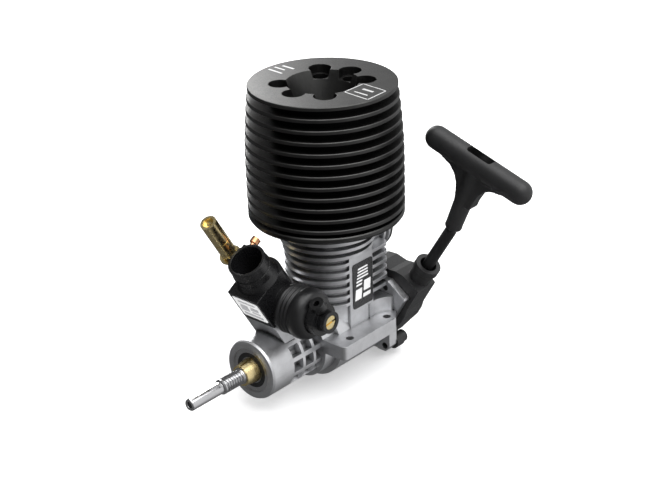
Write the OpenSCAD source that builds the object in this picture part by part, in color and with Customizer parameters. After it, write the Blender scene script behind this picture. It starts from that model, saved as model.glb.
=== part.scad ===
// Two-stroke model glow engine with a pull starter.
// +Z runs up the cylinder, the output shaft points to -Y, the throttle opens towards +X.
// The origin is where the crank axis meets the cylinder axis, at the underside of the mounting lugs.

/* [Crank train] */
// Cylinder bore
bore_d = 20.5; // [20.3:0.1:20.7]
// Piston stroke
stroke = 16; // [15.8:0.1:16.2]
// Connecting rod length between eyes
rod_len = 32; // [31.8:0.1:32.2]
// Crank journal diameter
journal_d = 14; // [13.8:0.1:14]
// Length of the pilot at the shaft's tip
pilot_len = 16.9; // [12:0.1:20]

/* [Cooling head] */
// Largest radius of the cooling head
head_r = 31.8; // [29:0.1:33]
// Radius of the head's top plate
head_top_r = 29.6; // [28:0.1:31]
// Number of fins below the top plate
head_fins = 12; // [8:1:13]
// Distance from one fin to the next
head_pitch = 4.52; // [4:0.01:4.6]

/* [Crankcase] */
// Height of the deck that the head stands on
deck_z = 51.7; // [51.5:0.1:52]
// Hole spacing of the mounting lugs across the engine
lug_span_x = 42; // [40:0.5:43]
// Hole spacing of the mounting lugs along the engine
lug_span_y = 23.5; // [20:0.5:26]
// Radius of the lug holes
lug_hole_r = 1.65; // [1.5:0.05:2]
// Distance between the case fins
case_pitch = 3.6; // [3.4:0.1:3.8]

/* [Carburettor] */
// Forward lean of the intake from vertical, in degrees
carb_lean = 31; // [29:1:33]
// Outer diameter of the intake mouth
mouth_d = 15.5; // [14:0.5:16]
// Radius of the throttle slide
slide_r = 4.9; // [4.6:0.1:5]

/* [Pull starter] */
// Radius at which the cord leaves the reel
cord_turn_r = 11.7; // [11.5:0.1:11.8]
// Diameter of the cord
cord_d = 2.4; // [2:0.1:2.6]
// Lean of the pull direction from vertical, in degrees
pull_lean = 31.5; // [30:0.5:33]

/* [Hidden] */

$fn = 64;
slack = 0.04;
gap = 0.3;

bore_r = bore_d / 2;
throw_r = stroke / 2;
journal_r = journal_d / 2;

// Heights up the cylinder with the piston at the top of its stroke
wrist_z = throw_r + rod_len;
crown_z = wrist_z + 9;
skirt_z = wrist_z - 8;
liner_bottom_z = 18;
liner_r = bore_r + 1.95;
liner_flange_r = 14;
liner_flange_z = deck_z - 2.5;

// Places along the crank axis
nose_y = -48.5;
band_y = -36;
case_front_y = -19.7;
lug_rear_y = 19.1;
flange_front_y = 18;
chamber_front_y = -12.6;
flange_rear_y = 21.3;
front_bearing_y = -47.8;
rear_bearing_y = -16.7;
bearing_w = 6;
web_front_y = -10.1;
web_rear_y = -3.1;
thread_y = -54;
pilot_y = -65.3;
tip_y = pilot_y - pilot_len;
disc_y = 5;
plug_front_y = 9;
starter_rear_y = 33.2;
reel_y = 25.6;
reel_w = 5.8;
reel_r = 14.2;
hub_r = 7.6;
spring_y = 23;
housing_rim_y = 23.6;
cord_y = 28.5;

nose_r = 12.6;
tunnel_r = journal_r + slack;
chamber_r = 15.3;
chamber_wall_r = 17;
case_shoulder_r = 14.6;
case_core_r = 15.8;
nose_core_r = 9.3;
pad_x = 16.2;
rear_block_y = 20;
lug_x = 25;
lug_z = 6;
ring_top_z = 47;
fin_t = 1.4;
outlet_z = 39;
outlet_r = 12;
outlet_y = 26;
outlet_bore_r = 9.2;
outlet_depth = 6;
bolt_circle_r = 16.6;
bolt_angles = [45, 90, 135, 225, 270, 315];
bolt_well_r = 3.2;
bolt_mouth_r = 4.6;
bolt_len = 12;
bolt_seat_z = 58;
plug_well_r = 7.3;
plug_well_z = 87;
funnel_r = 14.6;
screw_places = [[15, 15], [15.6, -12]];
screw_seat_y = 26;

// Ball bearings: bore radius, outer radius, ball radius, ball count
front_size = [3.5, 9.5, 1.6, 7];
rear_size = [journal_r, 12.7, 1.95, 9];

// Carburettor, in its own axes: X along the slide, Z up the intake
carb_y = -33.3;
carb_z = 25.5;
mouth_z = 26.6;
collar_z = 21.9;
block_z = 15.6;
block_front = 10.5;
block_half_w = 8;
link_x = 26.2;
link_back = 1.5;
link_low_z = 5.2;
link_h = 3.6;
link_hole_r = 1.25;
needle_x = -17.2;
needle_back = 4;
needle_low_z = 9.5;
needle_flange_z = 16.8;
needle_knob_z = 18.9;
needle_top_z = 38.4;
needle_knob_r = 3.4;
clamp_back = 7.6;

// Pull starter: the cord's path from the reel to the handle, in the plane of the reel
pull_dir = [sin(pull_lean), 0, cos(pull_lean)];
cord_start = [cord_turn_r * cos(pull_lean), cord_y, -cord_turn_r * sin(pull_lean)];
mouth_along = 38;
lead_start = 7.6;
guide_len = 23.7;
stem_lean = 21.7;
stem_len = 32.7;
bar_tilt = 18.3;
bar_len = 51.7;
bar_r = 4.9;

cast_c = [0.78, 0.79, 0.80];
steel_c = [0.70, 0.71, 0.73];
brass_c = [0.85, 0.68, 0.30];
black_c = [0.10, 0.10, 0.11];
rubber_c = [0.06, 0.06, 0.06];
bronze_c = [0.72, 0.52, 0.28];
copper_c = [0.78, 0.45, 0.28];
white_c = [0.92, 0.92, 0.92];

module along_y(y0, y1, r) { translate([0, y0, 0]) rotate([-90, 0, 0]) cylinder(h = y1 - y0, r = r); }
module along_x(x0, x1, r) { translate([x0, 0, 0]) rotate([0, 90, 0]) cylinder(h = x1 - x0, r = r); }
module along_z(z0, z1, r) { translate([0, 0, z0]) cylinder(h = z1 - z0, r = r); }
module turned_y() { rotate([-90, 0, 0]) rotate_extrude($fn = 96) children(); }
module box(low, high) { translate(low) cube(high - low); }
module plate_y(y0, y1) { translate([0, y1, 0]) rotate([90, 0, 0]) linear_extrude(y1 - y0) children(); }
module carb_axes() { translate([0, carb_y, carb_z]) rotate([carb_lean, 0, 0]) children(); }
module pull_axes(along) { translate(cord_start + along * pull_dir) rotate([0, pull_lean, 0]) children(); }
module at_screws() { for (x = [-1, 1], p = screw_places) translate([x * p[0], 0, p[1]]) children(); }
module at_bolts() { for (a = bolt_angles) rotate(a) translate([bolt_circle_r, 0, 0]) children(); }
module at_lugs() {
    for (x = [-1, 1], y = [-1, 1]) translate([x * lug_span_x / 2, y * lug_span_y / 2, 0]) children();
}

// Crankcase: one casting from the nose to the rear flange, up to the deck
module crankcase() {
    color(cast_c) difference() {
        union() {
            case_nose();
            along_y(case_front_y, chamber_front_y, case_shoulder_r);
            along_y(chamber_front_y, flange_rear_y, chamber_wall_r);
            along_z(0, deck_z, case_core_r);
            case_block();
            case_fins();
            case_lugs();
            case_flange();
            outlet_boss();
            carb_neck();
        }
        crank_spaces();
        cylinder_spaces();
        carb_spaces();
        at_lugs() along_z(-1, lug_z + 1, lug_hole_r);
        at_screws() along_y(plug_front_y, flange_rear_y + 1, 1.5);
    }
}

module case_nose() {
    turned_y() polygon([[0, nose_y], [nose_r - 1.4, nose_y], [nose_r - 0.4, nose_y + 0.4], [nose_r, nose_y + 1.4],
        [nose_r, band_y], [nose_core_r, band_y + 1.2], [nose_core_r, case_front_y + 1], [0, case_front_y + 1]]);
    intersection() {
        along_y(band_y, case_front_y + 1, nose_r);
        union() {
            for (a = [15:30:345]) rotate([0, a, 0]) box([-0.9, band_y, 0], [0.9, case_front_y + 1, nose_r]);
            for (y = [band_y + 5.2, band_y + 11.4]) along_y(y, y + 1.5, nose_r);
        }
    }
}

module case_block() {
    box([-pad_x, -5.5, 2], [pad_x, 9, ring_top_z - 2 * case_pitch - fin_t / 2]);
    // Scooped webs from the block out to the rear flange
    for (s = [0, 1]) mirror([s, 0, 0]) difference() {
        box([pad_x - 5, 6, 2], [19.5, flange_front_y + 1, 12.6]);
        translate([25.7, 9.2, 1]) cylinder(h = 14, r = 9.6);
    }
}

module case_fins() {
    for (k = [0:2]) along_z(ring_top_z - k * case_pitch - fin_t, ring_top_z - k * case_pitch, 20.6 - k);
    along_z(deck_z - 3.4, deck_z, 21);
    for (k = [3:8]) translate([0, 0, ring_top_z - k * case_pitch - fin_t]) linear_extrude(fin_t) fin_outline();
}

module fin_outline() {
    intersection() {
        circle(18);
        translate([-pad_x, -19]) square([2 * pad_x, 20]);
    }
    translate([-pad_x, 0]) square([2 * pad_x, rear_block_y - 3]);
    translate([-pad_x + 3, 0]) square([2 * pad_x - 6, rear_block_y]);
    for (s = [-1, 1]) translate([s * (pad_x - 3), rear_block_y - 3]) circle(3);
}

module case_lugs() {
    for (s = [0, 1]) mirror([s, 0, 0]) difference() {
        linear_extrude(lug_z) polygon([[10, case_front_y], [lug_x, case_front_y], [lug_x, 12.7], [19.9, lug_rear_y],
            [10, lug_rear_y]]);
        // Rounded outer front corner
        difference() {
            box([lug_x - 2, case_front_y - 1, -1], [lug_x + 1, case_front_y + 2, lug_z + 1]);
            translate([lug_x - 2, case_front_y + 2, -2]) cylinder(h = lug_z + 4, r = 2);
        }
    }
}

module case_flange() {
    plate_y(flange_front_y, flange_rear_y) for (s = [0, 1]) mirror([s, 0]) {
        polygon([[0, 18.6], [16.6, 18.4], [24.2, 13], [24.9, 11.6], [18.2, 0.2],
            [18.2, -11.8], [16, -14.6], [0, -16.2]]);
        translate([23.9, 11.9]) circle(1.35);
    }
    // Thicker feet around the lower screws
    plate_y(16.6, flange_front_y + 0.5) for (s = [0, 1]) mirror([s, 0])
        polygon([[11.5, 0.2], [18.2, 0.2], [18.2, -11.8], [16, -14.6], [11.5, -14.6]]);
}

module outlet_boss() {
    translate([0, 0, outlet_z]) turned_y() polygon([[0, 2], [10.4, 2], [10.4, outlet_y - 5], [outlet_r, outlet_y - 4.4],
        [outlet_r, outlet_y - 3], [outlet_r - 1.2, outlet_y - 2.7], [outlet_r - 1.2, outlet_y - 1.4],
        [outlet_r, outlet_y - 1], [outlet_r, outlet_y], [0, outlet_y]]);
}

module carb_neck() {
    carb_axes() box([-block_half_w, -block_front, -24], [block_half_w, 10.4, -1.5]);
}

// Bearing pockets, shaft tunnel and crank chamber
module crank_spaces() {
    along_y(nose_y - 1, front_bearing_y + bearing_w, front_size[1] + 0.01);
    along_y(front_bearing_y + bearing_w - 1, rear_bearing_y + bearing_w, tunnel_r);
    along_y(rear_bearing_y, web_front_y, rear_size[1] + 0.01);
    along_y(rear_bearing_y + bearing_w - 0.4, flange_rear_y + 1, chamber_r);
}

// Liner seat, transfer channels, head bolt threads and the exhaust passage
module cylinder_spaces() {
    along_z(0, deck_z + 1, liner_r + 0.03);
    along_z(liner_flange_z, deck_z + 1, liner_flange_r + 0.03);
    for (s = [0, 1]) mirror([s, 0, 0]) box([8, -4.5, 0], [14.2, 4.5, 37.5]);
    at_bolts() along_z(bolt_seat_z - bolt_len - 1, deck_z + 1, 1.55);
    translate([0, 0, outlet_z - 1]) along_y(8, outlet_y - 3, 8);
    translate([0, 0, outlet_z]) along_y(outlet_y - outlet_depth, outlet_y + 1, outlet_bore_r);
}

// Socket for the carburettor's foot and the port into the shaft tunnel
module carb_spaces() {
    carb_axes() {
        box([-block_half_w + 1.2, -block_front + 1.6, -9.2], [block_half_w - 1.2, 7.2, 0]);
        along_z(-19, -8, 6.05);
        along_z(-30, -8, 4.4);
        along_x(6.4, 9, 8.4);
        translate([0, clamp_back, -14]) along_x(-20, 20, 1.55);
    }
}

module case_label() {
    color(black_c) box([pad_x, -3.7, 13.7], [pad_x + 0.3, 8.6, 33.9]);
}

module exhaust_seal() {
    color(rubber_c) translate([0, 0, outlet_z]) difference() {
        along_y(outlet_y, outlet_y + 1.4, outlet_r);
        along_y(outlet_y - 1, outlet_y + 2, outlet_bore_r + 0.4);
    }
}

// Deep-groove ball bearings. s = [bore radius, outer radius, ball radius, ball count]
function pitch_r(s) = (s[0] + s[1]) / 2;
module race(y, r0, r1, s) {
    translate([0, y, 0]) turned_y() difference() {
        translate([r0, 0]) square([r1 - r0, bearing_w]);
        translate([pitch_r(s), bearing_w / 2]) circle(s[2] + slack);
    }
}
module balls(y, s) {
    for (i = [0:s[3] - 1]) rotate([0, i * 360 / s[3], 0]) translate([pitch_r(s), y + bearing_w / 2, 0])
        sphere(s[2], $fn = 32);
}
function inner_land(s) = pitch_r(s) - s[2] * 0.62;
function outer_land(s) = pitch_r(s) + s[2] * 0.62;

module front_bearing_outer() { color(steel_c) race(front_bearing_y, outer_land(front_size), front_size[1], front_size); }
module front_bearing_inner() { color(steel_c) race(front_bearing_y, front_size[0], inner_land(front_size), front_size); }
module front_bearing_balls() { color(steel_c) balls(front_bearing_y, front_size); }
module front_bearing_cage() { color(brass_c) cage_ring(front_bearing_y, front_size); }
module front_bearing_seals() {
    color(rubber_c) for (y = [front_bearing_y + 0.1, front_bearing_y + bearing_w - 0.9]) difference() {
        along_y(y, y + 0.8, outer_land(front_size));
        along_y(y - 1, y + 2, inner_land(front_size) + 0.1);
    }
}
module rear_bearing_outer() { color(steel_c) race(rear_bearing_y, outer_land(rear_size), rear_size[1], rear_size); }
module rear_bearing_inner() { color(steel_c) race(rear_bearing_y, rear_size[0], inner_land(rear_size), rear_size); }
module rear_bearing_balls() { color(steel_c) balls(rear_bearing_y, rear_size); }
module rear_bearing_cage() { color(brass_c) cage_ring(rear_bearing_y, rear_size); }

// Ribbon cage: a thin ring with one round pocket for each ball
module cage_ring(y, s) {
    difference() {
        along_y(y + bearing_w / 2 - s[2] - 0.4, y + bearing_w / 2 + s[2] + 0.4, pitch_r(s) + 0.5);
        along_y(y, y + bearing_w, pitch_r(s) - 0.5);
        for (i = [0:s[3] - 1]) rotate([0, i * 360 / s[3], 0]) translate([pitch_r(s), y + bearing_w / 2, 0])
            rotate([0, 90, 0]) cylinder(h = 4, r = s[2] + slack, center = true);
    }
}

// Crankshaft: web, hollow journal with the induction window, threaded nose and pilot
module crankshaft() {
    color(steel_c) difference() {
        union() {
            along_y(web_front_y, web_rear_y, 12.2);
            along_y(front_bearing_y + bearing_w, web_front_y, journal_r);
            along_y(thread_y, front_bearing_y + bearing_w, 3.5);
            along_y(pilot_y, thread_y, 3.175);
            along_y(tip_y, pilot_y, 2.5);
        }
        // Relieved flanks beside the crankpin
        for (s = [-1, 1]) translate([s * 13.5, 0, 4]) along_y(web_front_y - 0.1, web_rear_y + 1, 7);
        along_y(-32, web_rear_y + 1, 4.5);
        box([-4.4, -27.2, 0], [4.4, -18, journal_r + 1]);
        along_y(tip_y - 1, tip_y + 9, 1.25);
    }
}

module crankpin() {
    color(steel_c) translate([0, 0, throw_r]) along_y(web_rear_y + gap, disc_y - gap, 2.5);
}

// Split brass cone that centres the flywheel
module cone_collet() {
    color(brass_c) difference() {
        turned_y() polygon([[3.5, -53.9], [4.3, -53.9], [5.2, front_bearing_y - 0.2], [3.5, front_bearing_y - 0.2]]);
        box([-0.4, -55, 0], [0.4, front_bearing_y, 8]);
    }
}

module connecting_rod() {
    color([0.72, 0.73, 0.75]) translate([0, 0, throw_r]) difference() {
        union() {
            along_y(-2.75, 2.75, 4.5);
            translate([0, 0, rod_len]) along_y(-2.75, 2.75, 4.2);
            plate_y(-1.8, 1.8) polygon([[-2.6, 0], [2.6, 0], [2.1, rod_len], [-2.1, rod_len]]);
        }
        along_y(-4, 4, 3.3);
        translate([0, 0, rod_len]) along_y(-4, 4, 3.2);
        // Oil hole into the big end
        translate([0, 0, -6]) along_z(0, 4, 0.6);
    }
}

module bush(z, r) {
    translate([0, 0, z]) difference() {
        along_y(-2.75, 2.75, r);
        along_y(-4, 4, 2.5 + slack);
    }
}
module small_end_bush() { color(bronze_c) bush(wrist_z, 3.2); }
module big_end_bush() { color(bronze_c) bush(throw_r, 3.3); }

module wrist_pin() {
    color(steel_c) translate([0, 0, wrist_z]) difference() {
        along_y(-8.4, 8.4, 2.5);
        along_y(-9, 9, 1.3);
    }
}

module wrist_pin_clips() {
    color(steel_c) translate([0, 0, wrist_z]) for (y = [-9.1, 8.5]) difference() {
        along_y(y, y + 0.6, 2.5);
        along_y(y - 1, y + 2, 1.9);
        box([-1, y - 1, -4], [1, y + 2, 0]);
    }
}

module piston() {
    color([0.66, 0.67, 0.68]) difference() {
        along_z(skirt_z, crown_z, bore_r - slack);
        difference() {
            along_z(skirt_z - 1, crown_z - 2.6, 8.6);
            for (s = [0, 1]) mirror([0, s, 0]) translate([0, 0, wrist_z]) {
                along_y(3.1, 9, 4);
                box([-4, 3.1, 0], [4, 9, 8]);
            }
        }
        translate([0, 0, wrist_z]) along_y(-12, 12, 2.5 + 0.02);
        // Skirt cut-aways over the transfer ports
        for (s = [-1, 1]) translate([s * 11, 0, skirt_z - 1]) along_y(-3, 3, 3);
    }
}

module cylinder_liner() {
    color([0.74, 0.72, 0.66]) difference() {
        union() {
            along_z(liner_bottom_z, deck_z - 0.5, liner_r);
            along_z(liner_flange_z, deck_z - 0.5, liner_flange_r);
        }
        along_z(liner_bottom_z - 1, deck_z, bore_r);
        // Exhaust port at the rear, transfer ports at the sides, boost port at the front
        box([-6.5, 5, 33.2], [6.5, 14, 39.5]);
        for (s = [0, 1]) mirror([s, 0, 0]) box([5, -4.2, 33.2], [14, 4.2, 37]);
        box([-3, -14, 33.2], [3, -5, 37]);
    }
}

module head_gasket() {
    color(copper_c) difference() {
        along_z(deck_z - 0.5, deck_z - 0.2, 13.9);
        along_z(deck_z - 1, deck_z, bore_r);
    }
}

module head_button() {
    color([0.75, 0.76, 0.77]) difference() {
        union() {
            along_z(deck_z - 0.2, 57.4, 13.9);
            along_z(49.6, deck_z, bore_r - 0.05);
            along_z(57, bolt_seat_z, 6.9);
        }
        // Combustion bowl and glow plug thread
        translate([0, 0, 48.5]) sphere(6.2);
        along_z(45, 60, 3.15);
    }
}

// Finned cooling head with bolt wells around a funnel down to the glow plug
module cooling_head() {
    top_z = deck_z + head_fins * head_pitch + 1.7;
    core_r = 22;
    color(black_c) difference() {
        union() {
            along_z(deck_z + 0.5, top_z - 0.5, core_r);
            translate([0, 0, top_z - 1.7]) fin_disc(head_top_r, 1.7);
            for (k = [1:head_fins - 1]) translate([0, 0, top_z - 1.7 - k * head_pitch]) fin_disc(fin_radius(k), 1.7);
            translate([0, 0, deck_z]) rotate_extrude($fn = 96)
                polygon([[0, 0], [head_r - 2, 0], [head_r - 0.8, 0.4], [head_r - 0.1, 1.4], [head_r - 0.1, 2.6],
                    [head_r - 0.5, 3], [0, 3]]);
        }
        along_z(deck_z - 1, 57.4, liner_flange_r);
        along_z(57, 71.5, 7);
        along_z(71, plug_well_z, plug_well_r);
        translate([0, 0, plug_well_z - 0.05]) cylinder(h = top_z - plug_well_z + 0.1, r1 = plug_well_r, r2 = funnel_r);
        at_bolts() {
            along_z(bolt_seat_z, top_z + 1, bolt_well_r);
            along_z(top_z - 3.6, top_z + 1, bolt_mouth_r);
            along_z(deck_z - 1, bolt_seat_z + 1, 1.6);
        }
    }
}
// The outline swells from the top plate down to the seventh fin, then stays straight
function fin_radius(k) = head_top_r + (head_r - head_top_r) * sin(min(k / 7, 1) * 90);
module fin_disc(r, t) {
    rotate_extrude($fn = 96) polygon([[0, 0], [r - 0.25, 0], [r, 0.25], [r, t - 0.25], [r - 0.25, t], [0, t]]);
}

module socket_screw(shank_r, length, head_r, head_h, key_r) {
    difference() {
        union() {
            along_z(-length, 0, shank_r);
            along_z(0, head_h, head_r);
        }
        translate([0, 0, head_h - 1.6]) cylinder(h = 2, r = key_r, $fn = 6);
    }
}

module head_bolts() {
    color([0.2, 0.2, 0.21]) at_bolts() translate([0, 0, bolt_seat_z]) socket_screw(1.5, bolt_len, 2.75, 3, 1.45);
}

module glow_plug_body() {
    color(steel_c) difference() {
        union() {
            along_z(52.2, 58.6, 3.1);
            translate([0, 0, 58.6]) cylinder(h = 4.4, r = 4.6, $fn = 6);
            along_z(63, 64.2, 3.4);
        }
        along_z(50, 66, 1.9);
    }
}
module glow_plug_core() {
    color([0.86, 0.84, 0.78]) union() {
        along_z(53, 64.6, 1.9);
        along_z(64.5, 68, 1);
        along_z(67.4, 70.4, 1.9);
    }
}
module glow_plug_washer() {
    color(copper_c) difference() {
        along_z(bolt_seat_z, 58.6, 4.4);
        along_z(57, 60, 3.15);
    }
}

// Carburettor body: block, intake neck, slide barrel and foot
module carb_body() {
    color(black_c) carb_axes() difference() {
        union() {
            linear_height(-1.3, block_z) carb_outline();
            translate([0, 0, block_z]) cylinder(h = 3, r1 = mouth_d / 2 + 1.2, r2 = mouth_d / 2 + 0.3);
            along_z(block_z, collar_z, mouth_d / 2 + 0.3);
            along_z(block_z, mouth_z, mouth_d / 2);
            along_x(block_half_w + 0.05, block_half_w + 2, 9.6);
            along_x(6.5, block_half_w + 4, 8.2);
            box([-6.6, -8.7, -9], [6.6, 7, -1]);
            along_z(-17.7, -8.9, 6);
            // Lug for the throttle stop screw
            box([-10.8, 5.2, 12.6], [-6.6, 8.4, 21.7]);
            // Boss for the high-speed needle
            translate([0, needle_back - 1, 12.4]) along_x(-12.4, -6, 2.9);
        }
        along_z(-20, mouth_z + 1, 4.4);
        translate([0, 0, mouth_z - 11]) cylinder(h = 11.1, r1 = 4.4, r2 = mouth_d / 2 - 1.1);
        along_x(-7, 20, slide_r + slack);
        translate([0, needle_back - 1, 12.4]) along_x(-14, -2, 1.3);
        translate([-8.7, 0, 19.8]) along_y(1, 10, 1.02);
    }
}
module linear_height(z0, z1) { translate([0, 0, z0]) linear_extrude(z1 - z0) children(); }
module carb_outline() {
    translate([-block_half_w, -block_front]) square([2 * block_half_w, block_front]);
    intersection() {
        circle(10.2);
        translate([-block_half_w, -1]) square([2 * block_half_w, 12]);
    }
}

module carb_label() {
    color(white_c) carb_axes() box([-6.6, -block_front - 0.3, 1.6], [6.6, -block_front, 14]);
}

module carb_seal() {
    color(rubber_c) carb_axes() translate([0, 0, -9.1]) difference() {
        along_z(-0.1, 0.1, 6.7);
        along_z(-1, 1, 6);
    }
}

// Clamp bolt across the neck, which locks the carburettor's foot
module carb_clamp_bolt() {
    color([0.2, 0.2, 0.21]) carb_axes() translate([0, clamp_back, -14]) {
        translate([block_half_w, 0, 0]) rotate([0, 90, 0]) socket_screw(1.5, 2 * block_half_w + 2.4, 2.6, 2.4, 1.3);
        translate([-block_half_w - 2.4, 0, 0]) rotate([0, 90, 0]) difference() {
            cylinder(h = 2.4, r = 3.1, $fn = 6);
            along_z(-1, 4, 1.5);
        }
    }
}

module throttle_slide() {
    color(steel_c) carb_axes() difference() {
        along_x(-6.6, 22, slide_r);
        // Throttle passage, almost shut at idle
        translate([-6.9, 0, 0]) along_z(-8, 8, 4.2);
        along_x(10, 24, 1.6);
    }
}

// Composite end of the slide: hub, link eye and the boss around the idle mixture screw
module throttle_end() {
    color(black_c) carb_axes() difference() {
        union() {
            along_x(22, 27, 6.6);
            along_x(27, 30.6, 4.5);
            translate([link_x, link_back, link_low_z]) along_z(0, link_h, 3);
        }
        along_x(21, 31, 2.9);
        translate([link_x, link_back, link_low_z + 1]) along_z(0, link_h, link_hole_r);
    }
}

module throttle_boot() {
    color(rubber_c) carb_axes() difference() {
        rotate([0, 90, 0]) rotate_extrude($fn = 96) polygon([[8.2, 10.05], [10.2, 10.05], [10.4, 11.2],
            [9, 12], [10.2, 12.9], [9, 13.8], [10.2, 14.7], [9, 15.6], [10.4, 16.6], [10.5, 19.4],
            [10, 21.4], [8.6, 22.6], [6.65, 23], [6.65, 21.8], [8, 21.2], [9, 19.4], [8.9, 17.2], [7.9, 16],
            [8.2, 14], [8.2, 12.1]]);
    }
}

module slotted_head(r, h, slot) {
    difference() {
        along_z(0, h, r);
        box([-r - 1, -slot / 2, h * 0.45], [r + 1, slot / 2, h + 1]);
    }
}

module idle_mixture_screw() {
    color(brass_c) carb_axes() translate([28.6, 0, 0]) rotate([0, 90, 0]) difference() {
        union() {
            along_z(-6.6, 1.7, 2.85);
            along_z(-16, -6, 1.5);
        }
        rotate(67.5) box([-4, -0.4, 0.8], [4, 0.4, 3]);
    }
}

module throttle_stop_screw() {
    color(copper_c) carb_axes() translate([-8.7, 0, 19.8]) {
        along_y(1.6, 11, 1);
        translate([0, 11, 0]) rotate([-90, 0, 0]) slotted_head(1.9, 2.4, 0.6);
    }
}

// High-speed needle: housing with its flange, the needle with its round knob, and the fuel nipple below
module needle_axes() { carb_axes() translate([needle_x, needle_back, 0]) children(); }
module needle_housing() {
    color(brass_c) difference() {
        union() {
            needle_axes() {
                along_z(needle_low_z, needle_flange_z, 3.3);
                along_z(needle_flange_z, needle_flange_z + 0.9, 4.6);
                along_z(needle_flange_z, needle_knob_z + 2, 1.9);
            }
            carb_axes() translate([0, needle_back - 1, 12.4]) {
                along_x(needle_x + 1, -12.45, 2.3);
                along_x(needle_x + 1, -5, 1.25);
            }
        }
        needle_axes() along_z(needle_low_z + 1.5, needle_knob_z + 4, 1 + slack);
    }
}

module needle_valve() {
    color(brass_c) needle_axes() difference() {
        union() {
            along_z(12, needle_top_z - 1, 1);
            difference() {
                along_z(needle_knob_z, needle_top_z, needle_knob_r);
                along_z(needle_knob_z - 1, needle_knob_z + 2.4, 2.1);
                // Groove round the knob and the sink around the needle's slotted end
                difference() {
                    along_z(26.6, 27, needle_knob_r + 1);
                    along_z(26, 28, needle_knob_r - 0.25);
                }
                along_z(needle_top_z - 1.8, needle_top_z + 1, 2.3);
                // Grip flutes
                for (a = [0:20:340]) rotate(a) translate([needle_knob_r + 0.12, 0, needle_knob_z - 1])
                    cylinder(h = 4.4, r = 0.35, $fn = 16);
            }
        }
        box([-1.5, -0.25, needle_top_z - 1.6], [1.5, 0.25, needle_top_z + 1]);
    }
}

module fuel_nipple() {
    color(brass_c) needle_axes() difference() {
        union() {
            translate([0, 0, 7]) cylinder(h = needle_low_z - 7.05, r = 2.9, $fn = 6);
            along_z(-3.5, 7.5, 1.45);
            translate([0, 0, -2.9]) cylinder(h = 1.8, r1 = 1.45, r2 = 1.9);
        }
        along_z(-5, 8, 0.8);
    }
}

module needle_seals() {
    color(rubber_c) needle_axes() difference() {
        along_z(needle_flange_z + 0.95, needle_knob_z - 0.1, 2.6);
        along_z(needle_flange_z, needle_knob_z, 1.95);
    }
}

module backplate() {
    color(cast_c) difference() {
        union() {
            along_y(plug_front_y, flange_rear_y, chamber_r - 0.02);
            along_y(flange_rear_y, flange_rear_y + 1.4, 17.4);
        }
        along_y(plug_front_y - 1, flange_rear_y + 3, 3 + slack);
        // Relief for the seal in the plug's rim
        turned_y() polygon([[14.2, 12], [16, 12], [16, 14], [14.2, 14]]);
    }
}
module backplate_seal() {
    color(rubber_c) difference() {
        along_y(12, 14, chamber_r - 0.02);
        along_y(11, 15, 14.2);
    }
}

// Starter shaft: driving disc behind the crankpin and the journal through the backplate
module starter_shaft() {
    color(steel_c) difference() {
        union() {
            along_y(disc_y, disc_y + 3, 12);
            along_y(disc_y, reel_y + reel_w - 0.2, 3);
        }
        translate([0, 0, throw_r]) along_y(disc_y - 1, disc_y + 4, 2.8);
        translate([0, 0, 12]) along_y(disc_y - 1, disc_y + 4, 2.8);
        box([-2.8, disc_y - 1, throw_r], [2.8, disc_y + 4, 13]);
    }
}

module one_way_bearing() {
    color(steel_c) difference() {
        along_y(reel_y, reel_y + reel_w - 0.5, 5);
        along_y(reel_y - 1, reel_y + reel_w, 3 + slack);
    }
}

module starter_reel() {
    color([0.85, 0.85, 0.83]) difference() {
        union() {
            along_y(reel_y, reel_y + reel_w, hub_r);
            along_y(reel_y, reel_y + 1, reel_r);
            along_y(reel_y + reel_w - 1, reel_y + reel_w, reel_r);
        }
        along_y(reel_y - 1, reel_y + reel_w - 0.5, 5);
        along_y(reel_y, reel_y + reel_w + 1, 3.4);
    }
}

module recoil_spring() {
    color([0.35, 0.42, 0.5]) for (r = [6:1.6:13.2]) difference() {
        along_y(spring_y, spring_y + 2.2, r);
        along_y(spring_y - 1, spring_y + 3, r - 0.4);
    }
}

// Starter housing: a drum around the reel that runs out to the cord's nozzle
module housing_outline() {
    circle(16.4);
    polygon([[-9, 13.7], [-1, 21], [5, 23.1], [9.3, 23.3], [14.7, 21.8], [18, 22], [22, 21], [28, 17.5], [29.8, 16],
        [23.6, 5.3], [22.7, 2.4], [20.5, -1.5], [11.4, -11.8], [0, -10]]);
}
module starter_housing() {
    front_y = flange_rear_y + gap / 2;
    color(black_c) difference() {
        union() {
            plate_y(front_y, starter_rear_y) housing_outline();
            along_y(front_y, housing_rim_y, 18.4);
            at_screws() along_y(front_y, screw_seat_y, 3.3);
            pull_axes(16) along_z(0, mouth_along - 16, 4.9);
            pull_axes(mouth_along - 3) along_z(0, 3, 5.5);
        }
        along_y(front_y - 1, reel_y + reel_w + 0.4, reel_r + 0.6);
        along_y(front_y - 1, flange_rear_y + 1.6, 17.5);
        at_screws() {
            along_y(front_y - 1, screw_seat_y + 1, 1.6);
            along_y(screw_seat_y, starter_rear_y + 1, 3);
        }
        pull_axes(0) along_z(0, mouth_along + 1, 1.6);
        pull_axes(mouth_along - 5) along_z(0, 6, 3.6);
    }
}

module starter_screws() {
    color([0.2, 0.2, 0.21]) at_screws() translate([0, screw_seat_y, 0]) rotate([-90, 0, 0])
        socket_screw(1.45, 7.6, 2.7, 2.6, 1.3);
}

module cord_coil() {
    color([0.12, 0.12, 0.13]) difference() {
        along_y(reel_y + 1.2, reel_y + reel_w - 1.2, cord_turn_r + 1);
        along_y(reel_y, reel_y + reel_w, hub_r);
    }
}

module cord_lead() {
    color([0.12, 0.12, 0.13]) pull_axes(lead_start) along_z(0, mouth_along + guide_len + 3 - lead_start, cord_d / 2);
}

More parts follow.
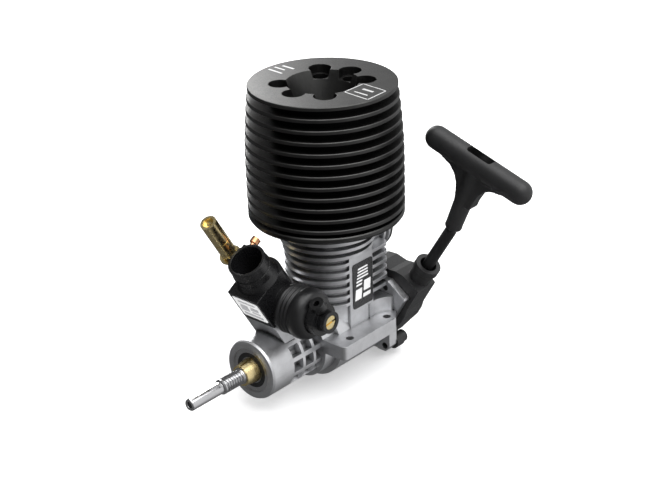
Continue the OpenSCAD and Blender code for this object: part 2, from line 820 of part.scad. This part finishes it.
// Flexible sleeve between the nozzle and the handle
module cord_guide() {
    color(rubber_c) pull_axes(mouth_along - 4.6) difference() {
        union() {
            along_z(0, guide_len + 4.1, 2.5);
            along_z(0, 1.5, 3.2);
        }
        along_z(-1, guide_len + 8, cord_d / 2 + 0.1);
    }
}

module handle_axes() { pull_axes(mouth_along + guide_len) rotate([0, stem_lean - pull_lean, 0]) children(); }
module pull_handle() {
    color(black_c) handle_axes() difference() {
        union() {
            cylinder(h = 1.2, r1 = 3.2, r2 = 3.9);
            translate([0, 0, 1.2]) cylinder(h = stem_len - 3, r1 = 3.6, r2 = 4.2);
            translate([0, 0, stem_len]) rotate([0, 90 + bar_tilt - stem_lean, 0]) {
                for (s = [-1, 1]) translate([0, 0, s * (bar_len / 2 - bar_r)]) sphere(bar_r);
                along_z(bar_r - bar_len / 2, bar_len / 2 - bar_r, bar_r);
            }
            // Webs that spread from the stem into the bar
            for (s = [0, 1]) translate([0, 0, stem_len]) rotate([0, bar_tilt - stem_lean, 0]) mirror([s, 0, 0])
                plate_y(-3.4, 3.4) polygon([[0, 0], [15, 0], [15, -4.6], [9, -7], [5.5, -11], [4, -17], [0, -17]]);
        }
        along_z(2, stem_len, 1.5);
        along_z(-1, 4, 2);
        translate([0, 0, stem_len]) rotate([0, bar_tilt - stem_lean, 0]) box([-6, -2.2, -1.5], [6, 2.2, 8]);
    }
}

module cord_knot() {
    color([0.75, 0.75, 0.74]) handle_axes() translate([0, 0, stem_len + 0.6]) sphere(1.9, $fn = 32);
}

crankcase();
case_label();
exhaust_seal();
front_bearing_outer();
front_bearing_inner();
front_bearing_balls();
front_bearing_cage();
front_bearing_seals();
rear_bearing_outer();
rear_bearing_inner();
rear_bearing_balls();
rear_bearing_cage();
crankshaft();
crankpin();
cone_collet();
connecting_rod();
small_end_bush();
big_end_bush();
wrist_pin();
wrist_pin_clips();
piston();
cylinder_liner();
head_gasket();
head_button();
cooling_head();
head_bolts();
glow_plug_body();
glow_plug_core();
glow_plug_washer();
carb_body();
carb_label();
carb_seal();
carb_clamp_bolt();
throttle_slide();
throttle_end();
throttle_boot();
idle_mixture_screw();
throttle_stop_screw();
needle_housing();
needle_valve();
fuel_nipple();
needle_seals();
backplate();
backplate_seal();
starter_shaft();
starter_housing();
starter_reel();
one_way_bearing();
recoil_spring();
starter_screws();
cord_coil();
cord_lead();
cord_guide();
pull_handle();
cord_knot();
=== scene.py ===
"""Looks of the model glow engine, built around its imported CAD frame."""

import math

import bmesh
import bpy
from mathutils import Matrix, Vector


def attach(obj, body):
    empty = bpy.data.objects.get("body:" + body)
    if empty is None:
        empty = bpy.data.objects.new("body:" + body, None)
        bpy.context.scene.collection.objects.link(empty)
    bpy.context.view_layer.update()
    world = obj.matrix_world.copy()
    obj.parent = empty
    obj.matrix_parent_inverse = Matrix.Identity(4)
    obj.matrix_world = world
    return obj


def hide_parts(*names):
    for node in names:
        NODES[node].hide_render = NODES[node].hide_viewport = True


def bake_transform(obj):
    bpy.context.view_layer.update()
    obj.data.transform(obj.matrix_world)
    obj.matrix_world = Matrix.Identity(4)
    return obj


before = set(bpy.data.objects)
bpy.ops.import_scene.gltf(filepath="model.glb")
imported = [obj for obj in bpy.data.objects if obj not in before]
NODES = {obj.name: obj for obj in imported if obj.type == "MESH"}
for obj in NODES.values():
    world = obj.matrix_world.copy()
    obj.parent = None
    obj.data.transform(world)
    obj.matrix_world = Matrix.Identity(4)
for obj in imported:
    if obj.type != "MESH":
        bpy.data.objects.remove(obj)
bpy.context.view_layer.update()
MM = 0.001

# Places shared with the CAD, in millimetres and degrees
HEAD_TOP_Z = 107.64
PAD_X = 16.2
CARB_ORIGIN = Vector((0, -33.3, 25.5))
CARB_LEAN = 31.0
CORD_START = Vector((9.976, 28.5, -6.113))
PULL_LEAN = 31.5
MOUTH_ALONG = 38.0
GUIDE_LEN = 23.7
STEM_LEAN = 21.7
STEM_LEN = 32.7
BAR_TILT = 18.3
BAR_LEN = 51.7
BAR_R = 4.9
STRAND_R = 0.62
SHAFT_R = 3.175
PILOT_R = 2.5

# The viewpoint and the floor, in metres and degrees
CAMERA_PLACE = (0.3708, -0.4083, 0.3013)
CAMERA_BACK = (0.6091, -0.6670, 0.4289)
CAMERA_AZIMUTH = 42.4
CAMERA_ROLL = 2.0
FLOOR_Z = -0.0187


# ---------------------------------------------------------------- axes
def turned(degrees, axis):
    return Matrix.Rotation(math.radians(degrees), 4, axis)


def carb_axes():
    return Matrix.Translation(CARB_ORIGIN) @ turned(CARB_LEAN, "X")


def pull_axes(along):
    """Z runs up the straight cord, and the origin is this many mm from its start."""
    lean = math.radians(PULL_LEAN)
    direction = Vector((math.sin(lean), 0, math.cos(lean)))
    return Matrix.Translation(CORD_START + direction * along) @ turned(PULL_LEAN, "Y")


def handle_axes():
    return pull_axes(MOUTH_ALONG + GUIDE_LEN) @ turned(STEM_LEAN - PULL_LEAN, "Y")


TO_Y = turned(-90, "X")
TO_X = turned(90, "Y")


def placed(name, data):
    """A new object, linked to the scene."""
    obj = bpy.data.objects.new(name, data)
    bpy.context.scene.collection.objects.link(obj)
    return obj


# ---------------------------------------------------------------- camera
def add_camera():
    azimuth, roll = math.radians(CAMERA_AZIMUTH), math.radians(CAMERA_ROLL)
    back = Vector(CAMERA_BACK).normalized()
    level = Vector((math.cos(azimuth), math.sin(azimuth), 0))
    rise = back.cross(level).normalized()
    right = level * math.cos(roll) - rise * math.sin(roll)
    up = level * math.sin(roll) + rise * math.cos(roll)
    data = bpy.data.cameras.new("camera")
    data.lens = 83.04
    data.sensor_width = 36.0
    data.clip_start = 0.01
    data.clip_end = 30.0
    camera = placed("camera", data)
    turn = Matrix((right, up, back)).transposed().to_4x4()
    camera.matrix_world = Matrix.Translation(CAMERA_PLACE) @ turn
    bpy.context.scene.camera = camera


# ---------------------------------------------------------------- materials
def fill_ramp(node, stops):
    """Sets a colour ramp from pairs of a position and a grey or a colour."""
    line = node.color_ramp
    while len(line.elements) < len(stops):
        line.elements.new(0.5)
    for element, (at, value) in zip(line.elements, stops):
        element.position = at
        element.color = (*value, 1) if hasattr(value, "__len__") else (value, value, value, 1)


class Shader:
    """A Principled material with helpers for procedural detail in object space."""

    def __init__(self, name, colour, metallic=0.0, rough=0.5, **fixed):
        self.material = bpy.data.materials.new(name)
        self.material.use_nodes = True
        self.tree = self.material.node_tree
        self.tree.nodes.clear()
        out = self.add("ShaderNodeOutputMaterial")
        self.base = self.add("ShaderNodeBsdfPrincipled")
        self.link(self.base.outputs[0], out.inputs[0])
        self.base.inputs["Base Color"].default_value = (*colour, 1)
        self.base.inputs["Metallic"].default_value = metallic
        self.base.inputs["Roughness"].default_value = rough
        for key, value in fixed.items():
            self.base.inputs[key.replace("_", " ")].default_value = value
        self.place = self.add("ShaderNodeTexCoord").outputs["Object"]
        self.height = None
        self.material.diffuse_color = (*colour, 1)

    def add(self, kind, **values):
        node = self.tree.nodes.new(kind)
        for key, value in values.items():
            setattr(node, key, value)
        return node

    def link(self, source, target):
        self.tree.links.new(source, target)

    def noise(self, scale, detail=3.0, rough=0.55):
        node = self.add("ShaderNodeTexNoise")
        node.inputs["Scale"].default_value = scale
        node.inputs["Detail"].default_value = detail
        node.inputs["Roughness"].default_value = rough
        self.link(self.place, node.inputs["Vector"])
        return node.outputs["Fac"]

    def ramp(self, fac, stops):
        node = self.add("ShaderNodeValToRGB")
        fill_ramp(node, stops)
        self.link(fac, node.inputs[0])
        return node.outputs[0]

    def colour(self, fac, stops):
        self.link(self.ramp(fac, stops), self.base.inputs["Base Color"])

    def roughness(self, fac, stops):
        self.link(self.ramp(fac, stops), self.base.inputs["Roughness"])

    def mix(self, fac, a, b):
        node = self.add("ShaderNodeMix", data_type="RGBA")
        self.link(fac, node.inputs[0])
        for value, socket in ((a, node.inputs[6]), (b, node.inputs[7])):
            if hasattr(value, "node"):
                self.link(value, socket)
            else:
                socket.default_value = (*value, 1)
        return node.outputs[2]

    def bump(self, fac, strength, depth_mm):
        node = self.add("ShaderNodeBump")
        node.inputs["Strength"].default_value = strength
        node.inputs["Distance"].default_value = depth_mm * MM
        self.link(fac, node.inputs["Height"])
        if self.height is not None:
            self.link(self.height, node.inputs["Normal"])
        self.height = node.outputs[0]
        self.link(self.height, self.base.inputs["Normal"])

    def paint_recess_shade(self, reach_mm, dark):
        """Paints shade into deep recesses: the base colour is darkened towards the dark colour where
        ambient occlusion finds nearby geometry.
        """
        node = self.add("ShaderNodeAmbientOcclusion", samples=6, only_local=True)
        node.inputs["Distance"].default_value = reach_mm * MM
        open_sky = self.ramp(node.outputs["AO"], [(0.2, 0.0), (0.62, 1.0)])
        base = self.base.inputs["Base Color"]
        source = base.links[0].from_socket if base.links else tuple(base.default_value[:3])
        self.link(self.mix(open_sky, dark, source), base)

    def rounded(self, radius_mm):
        """Softens the shading of sharp edges, as on a casting or a moulding."""
        node = self.add("ShaderNodeBevel", samples=4)
        node.inputs["Radius"].default_value = radius_mm * MM
        self.height = node.outputs[0]
        self.link(self.height, self.base.inputs["Normal"])


def metal(name, colour, rough, worn, grain=900.0, depth=0.01, edge=0.0, recess=None):
    """A bare metal whose tone and polish vary in a fine grain, with painted shade in its recesses when
    recess is given.
    """
    shader = Shader(name, colour, 1.0, rough)
    if edge:
        shader.rounded(edge)
    patch = shader.noise(grain * 0.12, 4.0, 0.6)
    fine = shader.noise(grain, 2.0, 0.6)
    dull = tuple(c * worn for c in colour)
    shader.colour(patch, [(0.3, dull), (0.7, colour)])
    # Painted shade: the base colour darkens in deep recesses.
    if recess:
        shader.paint_recess_shade(*recess)
    shader.roughness(fine, [(0.3, max(rough - 0.08, 0.02)), (0.7, rough + 0.08)])
    shader.bump(fine, 0.5, depth)
    return shader.material


def plastic(name, colour, rough, grain=1400.0, depth=0.02, edge=0.0, **fixed):
    """A moulded composite or rubber with a fine pebbled skin."""
    shader = Shader(name, colour, 0.0, rough, **fixed)
    if edge:
        shader.rounded(edge)
    fine = shader.noise(grain, 2.0, 0.65)
    patch = shader.noise(grain * 0.06, 3.0, 0.6)
    light = tuple(c * 1.35 + 0.002 for c in colour)
    shader.colour(patch, [(0.35, colour), (0.75, light)])
    shader.roughness(fine, [(0.3, rough - 0.07), (0.75, rough + 0.09)])
    shader.bump(fine, 0.6, depth)
    return shader.material


MATERIALS = {
    # The recess pairs (reach in mm, dark colour) paint shade into the recesses of the casting and of
    # the anodised head.
    "cast_aluminium": metal("cast_aluminium", (0.76, 0.765, 0.78), 0.42, 0.84, 1500, 0.05, edge=0.22,
                            recess=(3.2, (0.03, 0.03, 0.032))),
    "machined_aluminium": metal("machined_aluminium", (0.78, 0.78, 0.79), 0.28, 0.92, 900, 0.006),
    "black_anodised": metal("black_anodised", (0.078, 0.078, 0.076), 0.40, 0.80, 1800, 0.008, edge=0.15,
                            recess=(3.0, (0.008, 0.008, 0.008))),
    "steel": metal("steel", (0.66, 0.66, 0.67), 0.20, 0.88, 700, 0.004),
    "dark_steel": metal("dark_steel", (0.07, 0.07, 0.072), 0.42, 0.8, 900, 0.01),
    "brass": metal("brass", (0.92, 0.76, 0.40), 0.26, 0.90, 500, 0.004),
    "bronze": metal("bronze", (0.55, 0.36, 0.17), 0.35, 0.85, 700, 0.006),
    "copper": metal("copper", (0.80, 0.42, 0.22), 0.26, 0.85, 600, 0.005),
    "black_composite": plastic("black_composite", (0.0045, 0.0045, 0.005), 0.30, 1500, 0.012, edge=0.3),
    "charcoal_composite": plastic("charcoal_composite", (0.011, 0.011, 0.0115), 0.46, 1500, 0.03,
                                  edge=0.3),
    "black_rubber": plastic("black_rubber", (0.006, 0.006, 0.0065), 0.36, 1100, 0.012),
    "reel_plastic": plastic("reel_plastic", (0.62, 0.61, 0.56), 0.45),
    "spring_steel": metal("spring_steel", (0.20, 0.25, 0.34), 0.3, 0.8),
    "black_cord": plastic("black_cord", (0.02, 0.02, 0.021), 0.75, 2500, 0.03),
    "label_black": plastic("label_black", (0.014, 0.014, 0.015), 0.3, 600, 0.003),
    "label_white": plastic("label_white", (0.75, 0.75, 0.75), 0.35, 600, 0.003),
    "ceramic": plastic("ceramic", (0.74, 0.70, 0.60), 0.3, 500, 0.004),
    "knot_cord": plastic("knot_cord", (0.55, 0.55, 0.53), 0.7, 2500, 0.03),
    "mark_grey": plastic("mark_grey", (0.36, 0.36, 0.37), 0.4, 800, 0.004),
    "mark_white": plastic("mark_white", (0.6, 0.6, 0.6), 0.4, 800, 0.004),
}


def dress_cad():
    """Gives every carried-over CAD node its slot's material."""
    for name, obj in NODES.items():
        slots = [s.material.name for s in obj.material_slots if s.material]
        key = next((k for k in MATERIALS for s in slots if s.split(".")[0] == k), None)
        if key is None:
            raise SystemExit(f"{name} has no known finish in {slots}")
        for s in obj.material_slots:
            s.material = MATERIALS["charcoal_composite" if name == "starter_housing" else key]


# ---------------------------------------------------------------- meshes, drawn in millimetres
def lathe(profile, steps, closed=True):
    """Turns (radius, height) points about Z. A closed profile makes a ring."""
    bm = bmesh.new()
    rings = []
    for radius, z in profile:
        count = steps if radius > 1e-6 else 1
        turns = [2 * math.pi * k / steps for k in range(count)]
        rings.append([bm.verts.new((radius * math.cos(a), radius * math.sin(a), z)) for a in turns])
    follow = rings[1:] + rings[:1] if closed else rings[1:]
    for low, high in zip(rings, follow):
        for k in range(steps):
            corners = []
            for ring, at in ((low, k), (low, k + 1), (high, k + 1), (high, k)):
                vert = ring[at % len(ring)]
                if vert not in corners:
                    corners.append(vert)
            if len(corners) > 2:
                bm.faces.new(corners)
    return bm


def soften(points, radius, closed=True, steps=4):
    """Rounds the corners of a 2-D outline. radius is one number or one for each point."""
    out, count = [], len(points)
    for i, point in enumerate(points):
        reach = radius[i] if hasattr(radius, "__len__") else radius
        if reach == 0 or (not closed and i in (0, count - 1)):
            out.append(tuple(point))
            continue
        here = Vector(point)
        before, after = Vector(points[i - 1]) - here, Vector(points[(i + 1) % count]) - here
        start = here + before.normalized() * min(reach, before.length * 0.48)
        end = here + after.normalized() * min(reach, after.length * 0.48)
        for k in range(steps + 1):
            t = k / steps
            out.append(tuple(start * (1 - t) ** 2 + here * 2 * t * (1 - t) + end * t * t))
    return out


def slab(outline, low, high, lip=0.0):
    """Raises a 2-D outline from low to high, with a small chamfer at the top if lip is set."""
    bm = bmesh.new()
    centre = sum((Vector(p) for p in outline), Vector((0, 0))) / len(outline)
    levels = [(low, 0.0), (high - lip, 0.0)] + ([(high, lip)] if lip else [])
    rings = []
    for z, inset in levels:
        ring = []
        for point in outline:
            p = Vector(point)
            away = (p - centre).normalized() if inset else Vector((0, 0))
            ring.append(bm.verts.new((*(p - away * inset), z)))
        rings.append(ring)
    count = len(outline)
    for a, b in zip(rings, rings[1:]):
        for k in range(count):
            bm.faces.new((a[k], a[(k + 1) % count], b[(k + 1) % count], b[k]))
    bm.faces.new(rings[0][::-1])
    bm.faces.new(rings[-1])
    return bm


def tube(path, radius, sides, closed=False):
    """A round strand that follows a list of points."""
    bm = bmesh.new()
    count = len(path)
    rings = []
    normal = Vector((0.3, 0.9, 0.2))
    for i, here in enumerate(path):
        back = path[i - 1] if closed or i else path[0]
        ahead = path[(i + 1) % count] if closed or i < count - 1 else path[-1]
        along = (ahead - back).normalized()
        normal = (normal - along * normal.dot(along)).normalized()
        side = along.cross(normal)
        turns = [2 * math.pi * k / sides for k in range(sides)]
        spokes = [normal * math.cos(a) + side * math.sin(a) for a in turns]
        rings.append([bm.verts.new(here + spoke * radius) for spoke in spokes])
    follow = rings[1:] + rings[:1] if closed else rings[1:]
    for i, (a, b) in enumerate(zip(rings, follow)):
        shift = 0
        if closed and i == count - 1:
            shift = min(range(sides), key=lambda k: (b[k].co - a[0].co).length)
        for k in range(sides):
            near, far = (k + shift) % sides, (k + 1 + shift) % sides
            bm.faces.new((a[k], a[(k + 1) % sides], b[far], b[near]))
    if not closed:
        bm.faces.new(rings[0][::-1])
        bm.faces.new(rings[-1])
    return bm


def moved(bm, matrix):
    bm.transform(matrix)
    return bm


def meshed(name, bm):
    """The bmesh as a mesh. The bmesh is used up."""
    mesh = bpy.data.meshes.new(name)
    bm.to_mesh(mesh)
    bm.free()
    return mesh


def joined(*parts):
    """One bmesh out of several."""
    whole = bmesh.new()
    for part in parts:
        bmesh.ops.recalc_face_normals(part, faces=part.faces)
        mesh = meshed("part", part)
        whole.from_mesh(mesh)
        bpy.data.meshes.remove(mesh)
    return whole


def modified(bm, setup):
    """The bmesh after the modifiers that setup(obj) adds."""
    obj = placed("work", meshed("work", bm))
    setup(obj)
    result = obj.evaluated_get(bpy.context.evaluated_depsgraph_get())
    out = bmesh.new()
    out.from_mesh(result.to_mesh())
    result.to_mesh_clear()
    bpy.data.objects.remove(obj)
    return out


def moulded(bm, voxel, rounds):
    """Melts overlapping solids into one skin with soft fillets."""
    def setup(obj):
        remesh = obj.modifiers.new("remesh", "REMESH")
        remesh.mode = "VOXEL"
        remesh.voxel_size = voxel
        smooth = obj.modifiers.new("smooth", "SMOOTH")
        smooth.factor = 0.5
        smooth.iterations = rounds
    return modified(bm, setup)


def carved(bm, cutter):
    """bm with the cutter's volume taken away."""
    bmesh.ops.recalc_face_normals(cutter, faces=cutter.faces)
    tool = placed("cutter", meshed("cutter", cutter))

    def setup(obj):
        cut = obj.modifiers.new("cut", "BOOLEAN")
        cut.operation = "DIFFERENCE"
        cut.object = tool
        cut.solver = "EXACT"
    out = modified(bm, setup)
    bpy.data.objects.remove(tool)
    return out


def piece(name, bm, axes, finish, body=None, replaced=(), angle=38):
    """Places a bmesh in the frame and hands it to its body."""
    bmesh.ops.recalc_face_normals(bm, faces=bm.faces)
    bm.transform(Matrix.Scale(MM, 4) @ axes)
    mesh = meshed(name, bm)
    mesh.materials.append(MATERIALS[finish])
    for face in mesh.polygons:
        face.use_smooth = True
    mesh.set_sharp_from_angle(angle=math.radians(angle))
    obj = placed(name, mesh)
    if replaced:
        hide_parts(*replaced)
    if body:
        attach(obj, body)
    return obj


# ---------------------------------------------------------------- pull handle and its cord
def add_handle():
    bore_r, web_half = 1.55, 3.1
    lean = Matrix.Translation((0, 0, STEM_LEN)) @ turned(BAR_TILT - STEM_LEAN, "Y")
    stem = lathe([(0, 0), (2.9, 0), (3.5, 0.5), (3.75, 1.3), (3.5, 2.1), (3.55, 3),
                  (4.1, STEM_LEN - 6), (4.3, STEM_LEN), (0, STEM_LEN)], 48, closed=False)
    half = BAR_LEN / 2 - BAR_R
    arc = [math.radians(10 * k) for k in range(10)]
    cap = [(BAR_R * math.sin(a), half + BAR_R * math.cos(a)) for a in arc]
    bar = moved(lathe(cap + [(r, -z) for r, z in reversed(cap)], 48, closed=False), lean @ TO_X)
    web = [(-15, 0), (15, 0), (15, -4.4), (10.5, -5.6), (7.4, -8), (5.6, -11), (4.5, -15), (3.9, -19),
           (-3.9, -19), (-4.5, -15), (-5.6, -11), (-7.4, -8), (-10.5, -5.6), (-15, -4.4)]
    webs = moved(slab(web, -web_half, web_half), lean @ turned(90, "X"))
    body = moulded(joined(stem, bar, webs), 0.5, 7)
    slot = soften([(-6, -2.2), (6, -2.2), (6, 2.2), (-6, 2.2)], 1.4)
    body = carved(body, moved(slab(slot, -1.5, 9), lean))
    bore = [(0, -2), (bore_r, -2), (bore_r, STEM_LEN), (0, STEM_LEN)]
    body = carved(body, lathe(bore, 32, closed=False))
    piece("handle_grip", body, handle_axes(), "charcoal_composite", "handle", ["pull_handle"], 50)
    turns = [2 * math.pi * k / 60 for k in range(60)]
    loop = [Vector((math.sin(t) + 2 * math.sin(2 * t), math.cos(t) - 2 * math.cos(2 * t),
                    -1.3 * math.sin(3 * t))) * 0.4 for t in turns]
    knot = tube(loop, STRAND_R, 12, closed=True)
    recess = handle_axes() @ Matrix.Translation((0, 0, STEM_LEN + 0.5))
    piece("handle_knot", knot, recess, "knot_cord", "handle", ["cord_knot"])


def add_cord():
    """Three strands laid round each other, and the flexible sleeve at the handle."""
    start, end = 7.6, MOUTH_ALONG + GUIDE_LEN + 3
    strand_at, lay, spans = 0.54, 5.4, 115
    strands = []
    for k in range(3):
        path = []
        for i in range(spans + 1):
            z = (end - start) * i / spans
            a = 2 * math.pi * (z / lay + k / 3)
            path.append(Vector((strand_at * math.cos(a), strand_at * math.sin(a), z)))
        strands.append(tube(path, STRAND_R, 8))
    rope = piece("pull_cord", joined(*strands), pull_axes(start), "black_cord",
                 replaced=["cord_lead"])
    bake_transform(rope)
    inner, outer = 1.35, 2.48
    length = GUIDE_LEN + 4.1
    sleeve = soften([(inner, 0), (3.15, 0), (3.15, 1.4), (outer, 1.7), (outer, length - 1.2),
                     (2.36, length - 0.4), (2.1, length), (inner, length)],
                    [0.1, 0.3, 0.3, 0.2, 0.5, 0.3, 0.2, 0.1])
    piece("cord_sleeve", lathe(sleeve, 48), pull_axes(MOUTH_ALONG - 4.6), "black_rubber",
          "handle", ["cord_guide"])


# ---------------------------------------------------------------- throttle boot
def add_boot():
    outer = [(8.3, 10.1), (10.2, 10.1), (10.35, 11.2), (9.15, 12.05), (10.3, 12.95), (9.15, 13.9),
             (10.35, 14.85), (9.2, 15.75), (10.3, 16.6), (10.5, 18.2), (10.45, 19.6), (9.9, 21.2),
             (8.6, 22.3), (6.75, 22.9)]
    inner = [(6.75, 22), (8, 21.4), (9.1, 20), (9.3, 18), (8.3, 16.2), (8.3, 14)]
    reach = [0.2, 0.4] + [0.55] * 7 + [0.9] * 4 + [0.3] + [0.4] * 6
    boot = lathe(soften(outer + inner, reach, steps=5), 96)
    axes = carb_axes()
    obj = piece("boot_skin", boot, axes @ TO_X, "black_rubber", replaced=["throttle_boot"], angle=70)
    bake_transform(obj)


# ---------------------------------------------------------------- threaded nose of the crankshaft
def thread_bar(low, high, pitch, root, crest, steps=56, per_turn=8):
    """The open skin of a screw thread that fades out at both ends."""
    bm = bmesh.new()
    count = int((high - low) / pitch * per_turn)
    rings = []
    for i in range(count + 1):
        z = low + (high - low) * i / count
        fade = min(1.0, (z - low) / pitch, (high - z) / pitch)
        ring = []
        for k in range(steps):
            phase = (z / pitch - k / steps) % 1.0
            rise = min(max(1.25 - abs(phase - 0.5) * 3.2, 0.0), 1.0)
            radius = crest - (crest - root) * (1 - rise) * fade
            a = 2 * math.pi * k / steps
            ring.append(bm.verts.new((radius * math.cos(a), radius * math.sin(a), z)))
        rings.append(ring)
    for a, b in zip(rings, rings[1:]):
        for k in range(steps):
            bm.faces.new((a[k], a[(k + 1) % steps], b[(k + 1) % steps], b[k]))
    return bm


def add_shaft():
    """The CAD crankshaft, with its threaded length and pilot cut off and drawn again in detail."""
    cut_y, pilot_y, tip_y = -54.1, -65.3, -82.2
    thread_end, pitch = pilot_y + 0.5, 1.27
    rear = bmesh.new()
    rear.from_mesh(NODES["crankshaft"].data)
    rear.transform(Matrix.Scale(1 / MM, 4))
    parts = rear.verts[:] + rear.edges[:] + rear.faces[:]
    bmesh.ops.bisect_plane(rear, geom=parts, plane_co=(0, cut_y, 0), plane_no=(0, -1, 0),
                           clear_outer=True)
    thread = thread_bar(thread_end, cut_y, pitch, PILOT_R, SHAFT_R)
    profile = [(SHAFT_R, thread_end), (2.75, pilot_y), (2.3, pilot_y - 0.25),
               (PILOT_R, pilot_y - 0.5), (PILOT_R, tip_y + 0.45), (2.05, tip_y), (1.6, tip_y),
               (1.25, tip_y + 0.4), (1.25, tip_y + 9), (0, tip_y + 9.6)]
    reach = [0, 0.1, 0.1, 0.1, 0.3, 0.1, 0.1, 0.1, 0, 0]
    nose = lathe(soften(profile, reach, closed=False), 56, closed=False)
    whole = joined(rear, moved(thread, TO_Y), moved(nose, TO_Y))
    piece("shaft_steel", whole, Matrix.Identity(4), "steel", "crank", ["crankshaft"])


# ---------------------------------------------------------------- labels and marks, all generic
def slanted(x, y, width, height, lean):
    """A bar whose upper edge is shifted sideways by lean."""
    top = y + height
    return [(x, y), (x + width, y), (x + width + lean, top), (x + lean, top)]


def raised(outlines, low, high):
    return joined(*[slab(outline, low, high) for outline in outlines])


def add_labels():
    face = Matrix(((0, 0, 1, 0), (1, 0, 0, 0), (0, 1, 0, 0), (0, 0, 0, 1)))
    plate = soften([(-3.7, 13.7), (8.6, 13.7), (8.6, 33.9), (-3.7, 33.9)], 1.3)
    piece("case_plate", slab(plate, PAD_X, PAD_X + 0.27, lip=0.06), face, "label_black", "engine",
          ["case_label"])
    bars = [slanted(-2.7, 17.4, 3.9, 4.8, 0.6), slanted(2.2, 17.4, 4.6, 1.7, 0.3),
            slanted(2.7, 20.3, 4.1, 4.6, 0.4)]
    bars += [slanted(-1.9 + 0.2 * k, 23.6 + 1.5 * k, 3.6, 0.8, 0.12) for k in range(2)]
    bars += [slanted(-1.4 + 0.25 * k, 26.6 + 1.35 * k, 7.0 - 0.35 * k, 0.7, 0.12)
             for k in range(4)]
    marks = raised([soften(b, 0.2) for b in bars], PAD_X + 0.25, PAD_X + 0.3)
    piece("case_plate_bars", marks, face, "label_white", "engine")

    front = carb_axes() @ turned(90, "X")
    block_y = 10.5
    plate = soften([(-6.6, 1.6), (6.6, 1.6), (6.6, 14), (-6.6, 14)], 0.8)
    piece("carb_plate", slab(plate, block_y, block_y + 0.27, lip=0.05), front, "label_white",
          "engine", ["carb_label"])
    bars = [slanted(-5.4, 2.8, 10.2, 1.6, 0.6), slanted(-5.2, 5.6, 4.2, 4.4, 0.8),
            slanted(0.2, 5.6, 4.6, 1.2, 0.4), slanted(0.5, 7.6, 4.4, 2.4, 0.6),
            slanted(-4.6, 11.3, 9.2, 1.3, 0.4)]
    marks = raised([soften(b, 0.25) for b in bars], block_y + 0.25, block_y + 0.3)
    piece("carb_plate_bars", marks, front, "mark_grey", "engine")

    corners = [Vector(c) for c in ((14.7, -3.9), (27.3, -5.1), (26.8, 6.4), (14.6, 7.4))]
    line_half = 0.25
    strokes = []
    for i, a in enumerate(corners):
        b = corners[(i + 1) % 4]
        along = (b - a).normalized() * line_half
        across = Vector((-along.y, along.x))
        a_end, b_end = a - along, b + along
        strokes.append([a_end - across, b_end - across, b_end + across, a_end + across])
    strokes += [
        [(17.5, -1.6), (24.3, -2.0), (24.2, -1.2), (17.5, -0.9)],
        [(18.2, 2.2), (23.6, 2.0), (23.6, 3.2), (18.2, 3.5)],
        [(-27.2, -2.2), (-19.4, -2.8), (-19.3, -1.9), (-27.1, -1.2)],
        [(-27.0, 1.2), (-21.2, 0.9), (-21.2, 1.7), (-27.0, 2.1)],
        [(-25.6, 4.2), (-19.2, 4.0), (-19.2, 5.0), (-25.4, 5.3)],
    ]
    marks = raised(strokes, HEAD_TOP_Z - 0.04, HEAD_TOP_Z + 0.012)
    piece("head_marks", marks, Matrix.Identity(4), "mark_white", "engine")


# ---------------------------------------------------------------- stage
def add_stage():
    mesh = bpy.data.meshes.new("floor")
    half = 4.0
    corners = ((-half, -half), (half, -half), (half, half), (-half, half))
    mesh.from_pydata([(x, y, FLOOR_Z) for x, y in corners], [], [(0, 1, 2, 3)])
    floor = placed("floor", mesh)
    shader = Shader("floor", (0.93, 0.93, 0.93), 0.0, 0.9, Emission_Color=(1, 1, 1, 1),
                    Emission_Strength=0.35)
    shader.colour(shader.noise(3.0), [(0.3, (0.925, 0.925, 0.925)), (0.7, (0.94, 0.94, 0.94))])
    mesh.materials.append(shader.material)
    floor.visible_glossy = False


def add_light(name, place, target, size, power):
    data = bpy.data.lights.new(name, "AREA")
    data.shape = "RECTANGLE"
    data.size, data.size_y = size
    data.energy = power
    light = placed(name, data)
    aim = (Vector(target) - Vector(place)).to_track_quat("-Z", "Y")
    light.matrix_world = Matrix.Translation(place) @ aim.to_matrix().to_4x4()


def add_lights():
    """A sky bright behind and to the right, a soft sun overhead and a weak strip at the left."""
    world = bpy.data.worlds.new("studio")
    world.use_nodes = True
    tree = world.node_tree
    sky = tree.nodes["Background"]
    place = tree.nodes.new("ShaderNodeTexCoord")
    toward = tree.nodes.new("ShaderNodeVectorMath")
    toward.operation = "DOT_PRODUCT"
    toward.inputs[1].default_value = Vector((0.60, 0.55, 0.50)).normalized()
    tree.links.new(place.outputs["Generated"], toward.inputs[0])
    spread = tree.nodes.new("ShaderNodeMapRange")
    spread.inputs["From Min"].default_value = -1.0
    spread.inputs["From Max"].default_value = 1.0
    tree.links.new(toward.outputs["Value"], spread.inputs[0])
    ramp = tree.nodes.new("ShaderNodeValToRGB")
    stops = [(0.0, 0.14), (0.3, 0.15), (0.5, 0.22), (0.62, 0.42), (0.8, 0.9), (1.0, 1.0)]
    fill_ramp(ramp, [(at, (value, value, value * 1.01)) for at, value in stops])
    tree.links.new(spread.outputs[0], ramp.inputs[0])
    tree.links.new(ramp.outputs[0], sky.inputs[0])
    sky.inputs[1].default_value = 0.9
    bpy.context.scene.world = world
    data = bpy.data.lights.new("overhead", "SUN")
    data.energy = 2.6
    data.angle = math.radians(70)
    sun = placed("overhead", data)
    sun.matrix_world = turned(15, "Y")
    centre = (0.01, 0, 0.05)
    add_light("strip_left", (-0.5, 0.35, 0.25), centre, (0.12, 0.7), 2.5)


add_camera()
dress_cad()
add_handle()
add_cord()
add_boot()
add_shaft()
add_labels()
add_stage()
add_lights()
scene = bpy.context.scene
scene.view_settings.view_transform = "Standard"
scene.view_settings.look = "None"
